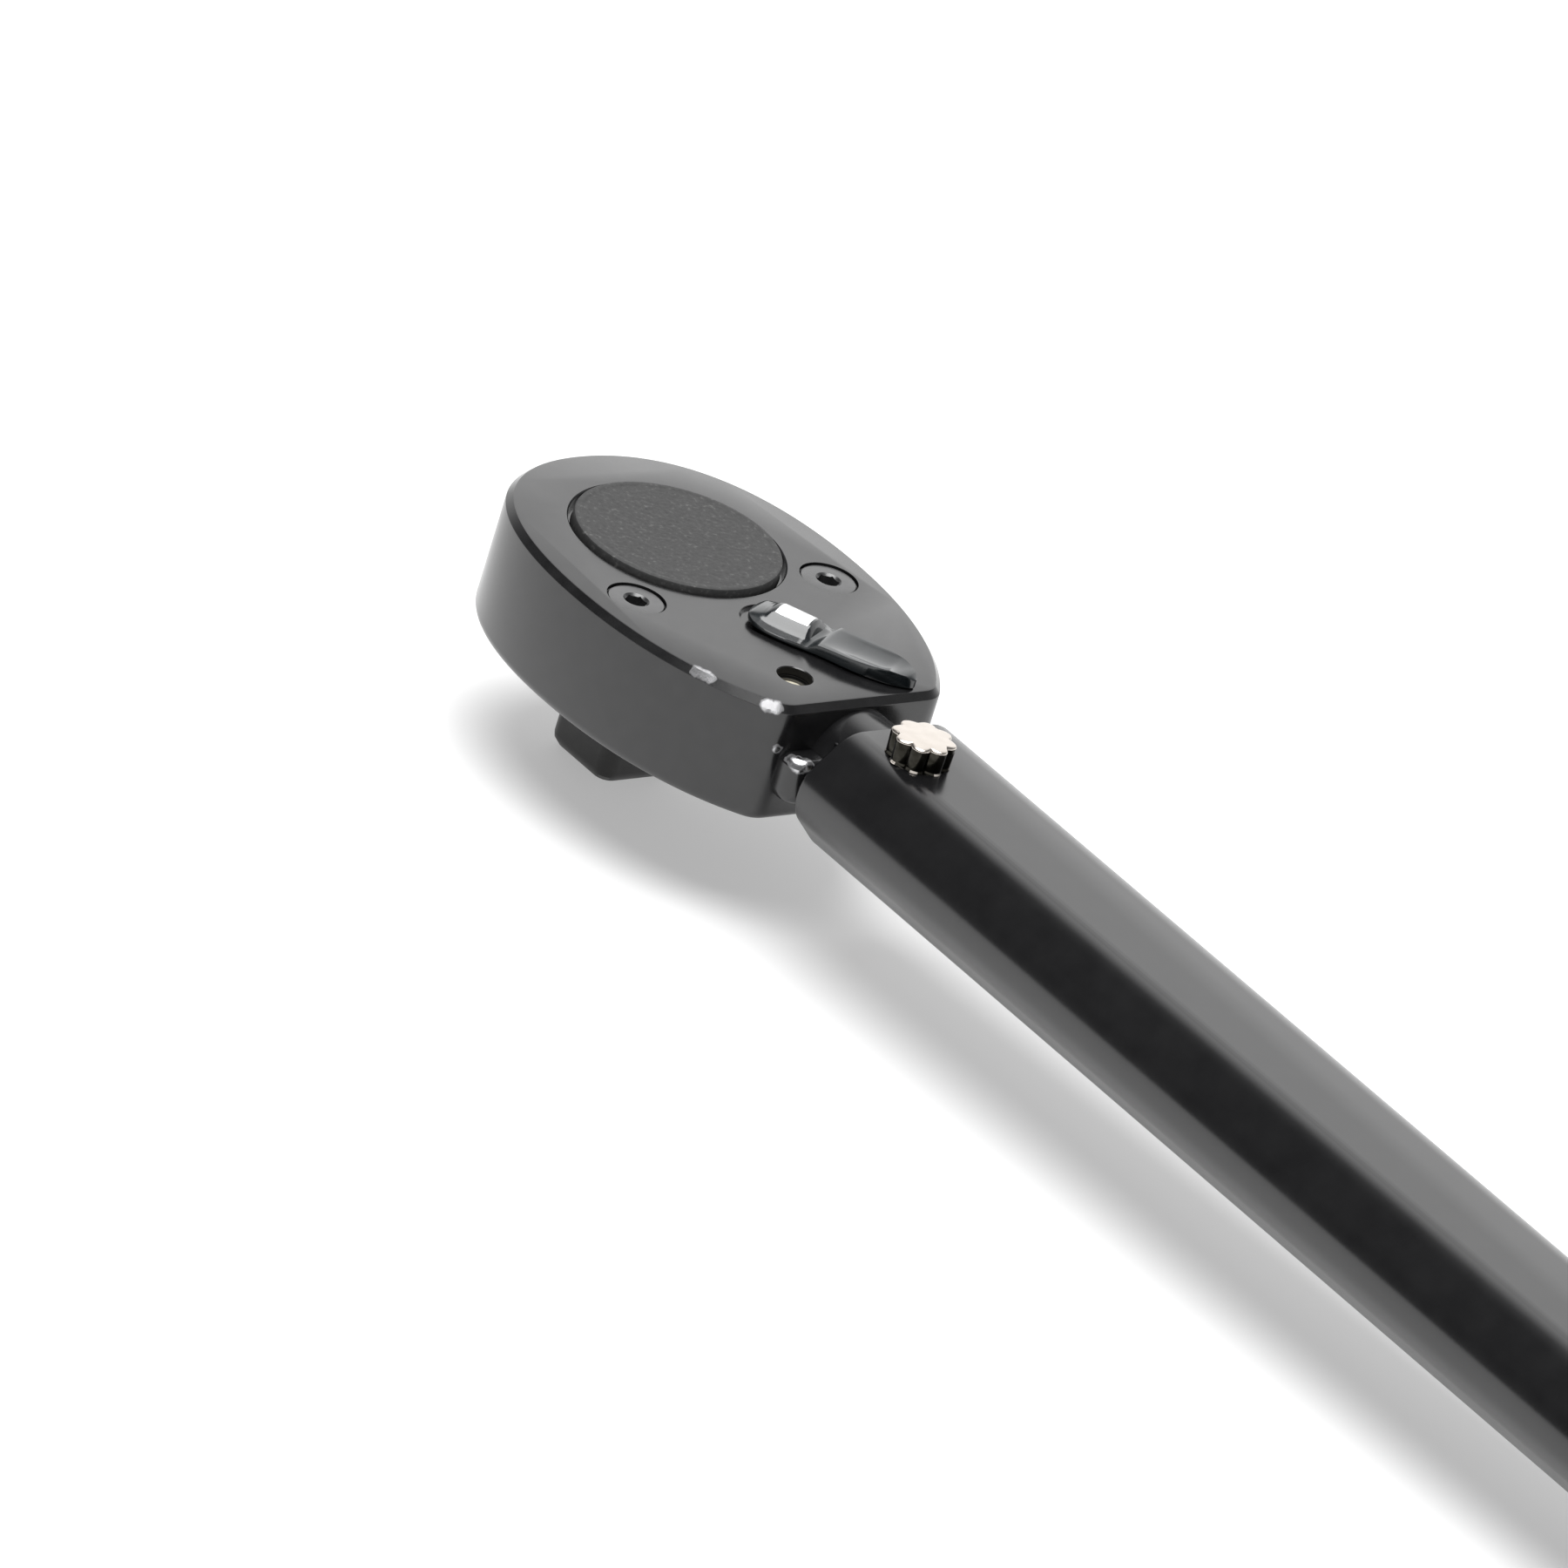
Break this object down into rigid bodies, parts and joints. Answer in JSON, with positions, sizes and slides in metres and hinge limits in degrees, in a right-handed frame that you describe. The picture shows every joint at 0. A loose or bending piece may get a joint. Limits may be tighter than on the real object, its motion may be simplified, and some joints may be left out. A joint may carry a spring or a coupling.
{
  "type": "ratcheting breaker bar",
  "caption": "Long-handled square-drive turning bar with a pivoting pear-shaped ratchet head, reversing lever, octagonal tube and ribbed rubber grip.",
  "frame": {"origin": "on the drive axis, at the shoulder of the drive square, where a socket stops", "axes": "+X along the tube to the handle's end, +Z along the drive axis away from the socket, +Y to the left seen from above"},
  "size_m": [0.4821, 0.0484, 0.0369],
  "materials": {
    "black_steel": "satin black, fine texture",
    "black_screws": "black oxide, satin",
    "lever_black": "gloss black",
    "cap_black": "coarse textured black",
    "wheel_steel": "black oxide, satin",
    "bare_steel": "ground",
    "spring_steel": "oiled spring wire",
    "nickel": "polished nickel, warm",
    "brass_tone": "turned",
    "grip_rubber": "matt moulded"
  },
  "bodies": {
    "handle": {"body_tube": "black_steel", "pivot_pin": "nickel", "pivot_nut": "bare_steel", "pivot_spacer": "brass_tone", "plunger_guide": "bare_steel", "main_spring": "spring_steel", "end_bushing": "bare_steel", "bushing_pins": "bare_steel", "grip_sleeve": "grip_rubber", "grip_ring": "nickel", "end_cap": "grip_rubber"},
    "head": {"head_housing": "black_steel", "bottom_cover": "black_steel", "cover_screws": "black_screws", "pawl_screws": "black_screws", "spring_posts": "brass_tone", "pivot_bushing": "brass_tone", "lever_ball_spring": "spring_steel", "pawl_spring_left": "spring_steel", "pawl_spring_right": "spring_steel"},
    "drive": {"drive_wheel": "wheel_steel", "drive_cap": "cap_black", "detent_spring": "spring_steel"},
    "square_ball": {"detent_ball": "bare_steel"},
    "left_pawl": {"pawl_left": "bare_steel"},
    "right_pawl": {"pawl_right": "bare_steel"},
    "lever": {"reversing_lever": "lever_black", "lever_cam": "bare_steel"},
    "lever_detent": {"lever_ball": "bare_steel"},
    "toggle": {"toggle_block": "bare_steel"},
    "release_plunger": {"plunger": "bare_steel"},
    "setting_nut": {"adjusting_nut": "bare_steel", "spring_seat": "bare_steel"},
    "setting_screw": {"adjusting_screw": "bare_steel", "lock_nut": "bare_steel"}
  },
  "joints": [
    {"name": "head_click", "type": "hinge", "parent": "handle", "child": "head", "pos_m": [0.0565, -0.0027, 0.0095], "axis": [0, 0, 1], "range_deg": [0, 3], "stiffness_Nm_per_rad": 20},
    {"name": "drive_spin", "type": "hinge", "parent": "head", "child": "drive", "pos_m": [0, 0, 0], "axis": [0, 0, 1], "continuous": true},
    {"name": "square_ball_press", "type": "slide", "parent": "drive", "child": "square_ball", "axis": [1, 0, 0], "range_m": [0, 0.0007], "stiffness_N_per_m": 2000, "springref_m": -0.0003, "deforming": ["detent_spring"]},
    {"name": "lever_throw", "type": "hinge", "parent": "head", "child": "lever", "pos_m": [0.0215, 0, 0.0095], "axis": [0, 0, 1], "range_deg": [-52, 0]},
    {"name": "left_pawl_swing", "type": "hinge", "parent": "head", "child": "left_pawl", "pos_m": [0.0125, 0.0164, 0.0095], "axis": [0, 0, 1], "range_deg": [-7.8, 0], "deforming": ["pawl_spring_left"]},
    {"name": "right_pawl_swing", "type": "hinge", "parent": "head", "child": "right_pawl", "pos_m": [0.0125, -0.0164, 0.0095], "axis": [0, 0, 1], "range_deg": [-7.8, 0], "deforming": ["pawl_spring_right"]},
    {"name": "lever_ball_press", "type": "slide", "parent": "head", "child": "lever_detent", "axis": [1, 0, 0], "range_m": [0, 0.0005], "stiffness_N_per_m": 1000, "springref_m": -0.0003, "deforming": ["lever_ball_spring"]},
    {"name": "toggle_tilt", "type": "hinge", "parent": "handle", "child": "toggle", "pos_m": [0.107, 0, 0.0095], "axis": [0, 0, 1], "range_deg": [-16.5, 0]},
    {"name": "plunger_slide", "type": "slide", "parent": "handle", "child": "release_plunger", "axis": [1, 0, 0], "range_m": [0, 0.0012], "deforming": ["main_spring"]},
    {"name": "setting_screw_turn", "type": "hinge", "parent": "handle", "child": "setting_screw", "pos_m": [0.42, 0, 0.0095], "axis": [-1, 0, 0], "range_deg": [0, 1080]},
    {"name": "setting_nut_travel", "type": "slide", "parent": "handle", "child": "setting_nut", "axis": [-1, 0, 0], "range_m": [0, 0.0042], "deforming": ["main_spring"]}
  ],
  "couplings": [
    {"joint": "left_pawl_swing", "follows": "lever_throw", "ratio": 0.13462},
    {"joint": "right_pawl_swing", "follows": "lever_throw", "ratio": 0.13462},
    {"joint": "toggle_tilt", "follows": "head_click", "ratio": -4.8667},
    {"joint": "plunger_slide", "follows": "head_click", "m_per_rad": 0.021008},
    {"joint": "setting_nut_travel", "follows": "setting_screw_turn", "m_per_rad": 0.00019894}
  ]
}
